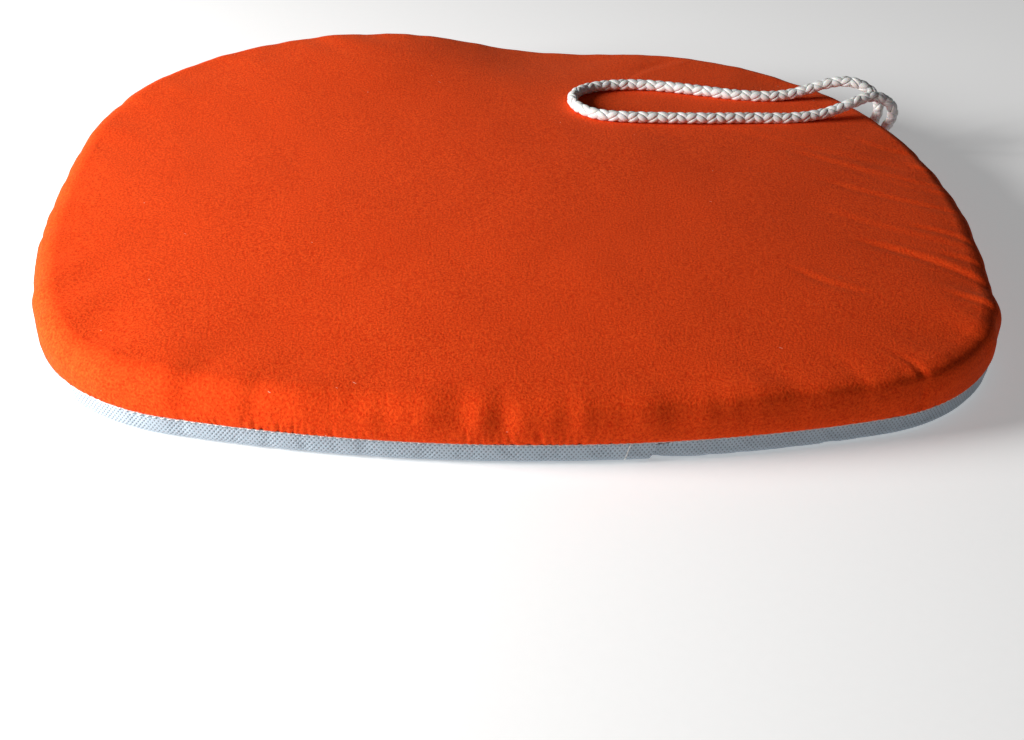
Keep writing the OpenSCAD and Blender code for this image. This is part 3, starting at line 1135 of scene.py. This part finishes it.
def make_cover_seam():
    """Small slanting overlock stitches that show here and there at the join of cover and strip."""
    tubes = Tubes()
    count = round(EDGE_LEN / STITCH_PITCH)
    rng = np.random.default_rng(61)
    t = np.linspace(0, 1, 6)
    for i in range(count):
        s = EDGE_LEN * i / count + rng.uniform(-0.25, 0.25)
        run = s + STITCH_LEN * (t - 0.5)
        open_here = max(bell(signed(s - middle) / half) for middle, half in OPEN_SEAM)
        proud = np.sin(math.pi * t) * (0.05 + 0.32 * open_here * rng.uniform(0.3, 1.3))
        rise = BAND_H - 0.1 - 0.6 * open_here + (0.5 + 0.6 * open_here) * t
        tubes.thread(on_edge(run, STITCH_INSET - proud, rise))
        inset = LOOP_INSET - 0.1 * np.sin(math.pi * t)
        tubes.thread(on_edge(s + STITCH_PITCH * t, inset, BAND_H + 0.28))
    return settle(tubes.mesh("cover_stitches"))


def make_base_seam():
    """A zigzag under the pad that catches the strip's raw edge and the panel."""
    tubes = Tubes()
    middle = BAND_INSET + FOLD_R + BAND_RETURN
    count = round(EDGE_LEN / ZIGZAG_PITCH)
    t = np.linspace(0, 1, 5)
    for i in range(count):
        s = EDGE_LEN * (i + t) / count
        way = t if i % 2 == 0 else 1 - t
        line = on_edge(s, middle - 1.4 + ZIGZAG_W * way, 0)
        line[:, 2] = np.interp(way, (0, 0.42, 0.55, 1), (0.22, 0.22, 0.95, 1.15))
        line[:, 2] += np.where((t == 0) | (t == 1), 0.1, 0)
        tubes.thread(line)
    return settle(tubes.mesh("underside_stitches"))


def make_lap_stitch():
    """A row of stitches down the strip, near the lap's outer end."""
    tubes = Tubes()
    t = np.linspace(0, 1, 7)
    line, length = band_line()
    for i in range(LAP_STITCHES):
        v = 0.5 + i * LAP_PITCH + t * (LAP_PITCH - 0.25)
        s = np.full(len(t), LAP_END - LAP_STITCH_BACK) - 0.22 * v
        off = 0.04 - 0.2 * np.sin(math.pi * t)
        tubes.add(band_point(s, v, off, line, length), *FLAT_THREAD, 8)
    return settle(tubes.mesh("lap_stitches"))


def surface_of(pieces):
    """One search tree over several pieces, in mm."""
    points, faces, count = [], [], 0
    for piece in pieces:
        mesh = piece.data
        points.append(read_points(piece))
        faces.extend([[k + count for k in p.vertices] for p in mesh.polygons])
        count += len(mesh.vertices)
    return BVHTree.FromPolygons(np.vstack(points).tolist(), faces)


def make_tack(surface):
    """Close satin stitches wrapped over both ends of the tie and the seam beneath them."""
    tubes = Tubes()
    rng = np.random.default_rng(71)
    heights = np.linspace(TACK_Z - TACK_H / 2, TACK_Z + TACK_H / 2, 13)
    for i in range(TACK_WRAPS):
        s = TACK_FROM_MIDDLE + TACK_LEN * ((i + 0.5) / TACK_WRAPS - 0.5)
        z = heights + rng.uniform(-0.25, 0.25)
        slant = s + 0.35 * (heights - TACK_Z) / TACK_H * (1 if i % 2 else -1)
        flat, outward = edge_at(slant)
        line = []
        for p, n, height in zip(flat, outward, z):
            hit = surface.ray_cast((*(p + SEARCH_FROM * n), height), (*-n, 0))[0]
            reach = 0.0 if hit is None else (hit.x - p[0]) * n[0] + (hit.y - p[1]) * n[1]
            line.append((*(p + n * (reach + TACK_PROUD)), height))
        line = np.array(line)
        line[1:-1] = (line[:-2] + 2 * line[1:-1] + line[2:]) / 4
        tubes.add(line, *FLAT_THREAD, 6)
    return tubes.mesh("bar_tack")


# --- The foam inside ---

FOAM_INSET = 5.0
FOAM_LOW = 3.0
FOAM_DROP = 3.6


def make_foam():
    """The foam slab, a little smaller than the cover all round."""
    rows = Rows()
    s = stations(240)
    levels = [(5.5, 3.2), (FOAM_INSET, 4.2), (FOAM_INSET, 9), (3.5, 12), (2.8, WALL_TOP)]
    levels += [(ROLL_R - (ROLL_R - 2.8) * math.cos(a), WALL_TOP - 0.6 + (ROLL_R - 3) * math.sin(a))
               for a in np.linspace(0, math.pi / 2, 6)[1:]]
    first = last = rows.row(on_edge(s, *levels[0]), s, 0)
    for level in levels[1:]:
        last = rows.stack(last, on_edge(s, *level), s, 0)
    for shrink in np.linspace(0.96, CROWN_START, 30):
        points = shrunk(s, ROLL_R, shrink, crown_height(shrink) - FOAM_DROP)
        points[:, 2] += 0.1 * swell(points[:, :2], 20, 81)
        last = rows.stack(last, points, s, 0)
    rows.cap(last, crown_height(0) - FOAM_DROP)
    below = first
    for shrink in (0.8, 0.6, 0.4, 0.2):
        ring = rows.row(shrunk(s, levels[0][0], shrink, FOAM_LOW), s, 0)
        rows.join(ring, below, True)
        below = ring
    rows.cap(below[::-1], FOAM_LOW)
    return settle(rows.mesh("foam_slab"))


# --- Floor and light ---

# In metres, so wide that a low view doesn't show the floor's end
FLOOR_HALF = 40.0


def make_floor():
    mesh = bpy.data.meshes.new("floor")
    corners = [(FLOOR_HALF * x, FLOOR_HALF * y, 0) for x, y in ((-1, -1), (1, -1), (1, 1), (-1, 1))]
    mesh.from_pydata(corners, [], [(0, 1, 2, 3)])
    mesh.materials.append(floor_material())
    add_object("floor", mesh)


def make_light():
    """One soft window, low at the left, and a faint even room."""
    data = bpy.data.lights.new("window", "AREA")
    data.shape = "DISK"
    data.size = 0.42
    data.energy = 21.0
    data.color = (1.0, 0.99, 0.975)
    lamp = add_object("window", data)
    lamp.location = Vector((-0.94, -0.2, 0.35))
    lamp.rotation_mode = "QUATERNION"
    lamp.rotation_quaternion = (Vector((0, 0, 0.03)) - lamp.location).to_track_quat("-Z", "Y")
    world = bpy.data.worlds.new("soft_room")
    world.use_nodes = True
    back = next(n for n in world.node_tree.nodes if n.type == "BACKGROUND")
    back.inputs["Color"].default_value = (0.95, 0.975, 1.0, 1)
    back.inputs["Strength"].default_value = 0.05
    bpy.context.scene.world = world
    bpy.context.scene.view_settings.view_transform = "Standard"


# --- Build ---

def dress(piece, material, slot, *nodes):
    """Gives a piece its material and body, and hides the CAD nodes that it stands in for; slot is not
    used.
    """
    piece.data.materials.clear()
    piece.data.materials.append(material)
    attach(piece, "root")
    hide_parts(*nodes)


make_camera()

tie, tie_line = make_cord()
dress(tie, cord_material(), "cord", "tie_cord")

cover = make_cover()
band = make_band()
panel = make_panel()
foam = make_foam()
cover_stitches = make_cover_seam()
underside_stitches = make_base_seam()
lap_stitches = make_lap_stitch()
bar_tack = make_tack(surface_of([cover, band, tie]))

strip_material = nonwoven_material("pale_strip", (0.41, 0.495, 0.57, 1), Paint.cloth)
panel_material = nonwoven_material("pale_panel", (0.52, 0.575, 0.62, 1), Paint.place)
thread = thread_material()
dress(cover, cover_material(), "cover_cloth", "top_cover")
dress(band, strip_material, "nonwoven_strip", "edge_band")
dress(panel, panel_material, "nonwoven_panel", "base_panel")
dress(foam, foam_material(), "foam", "foam_core")
dress(cover_stitches, thread, "thread", "cover_seam")
dress(underside_stitches, thread, "thread", "base_seam")
dress(lap_stitches, thread, "thread", "lap_stitch")
dress(bar_tack, thread, "thread", "tie_tack")

make_floor()
make_light()
